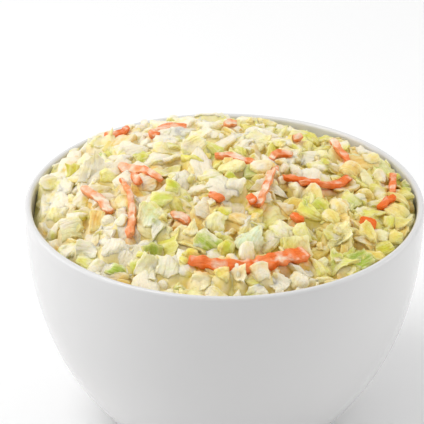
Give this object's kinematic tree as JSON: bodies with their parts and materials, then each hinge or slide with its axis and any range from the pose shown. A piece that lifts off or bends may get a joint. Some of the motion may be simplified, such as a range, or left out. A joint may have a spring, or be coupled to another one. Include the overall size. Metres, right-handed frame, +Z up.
{
  "type": "coleslaw in a bowl",
  "caption": "Creamy chopped coleslaw with carrot shreds, heaped above the lip of a round white porcelain bowl on a foot ring.",
  "frame": {"origin": "on the table under the centre of the bowl, at the bottom of the foot ring", "axes": "+Z up out of the bowl, -Y towards the eater, +X to the eater's right"},
  "size_m": [0.115, 0.115, 0.0835],
  "materials": {
    "porcelain": "glossy white glaze",
    "dressed_cabbage": "moist, coated with creamy dressing"
  },
  "bodies": {
    "root": {"bowl": "porcelain", "coleslaw": "dressed_cabbage"}
  },
  "joints": []
}
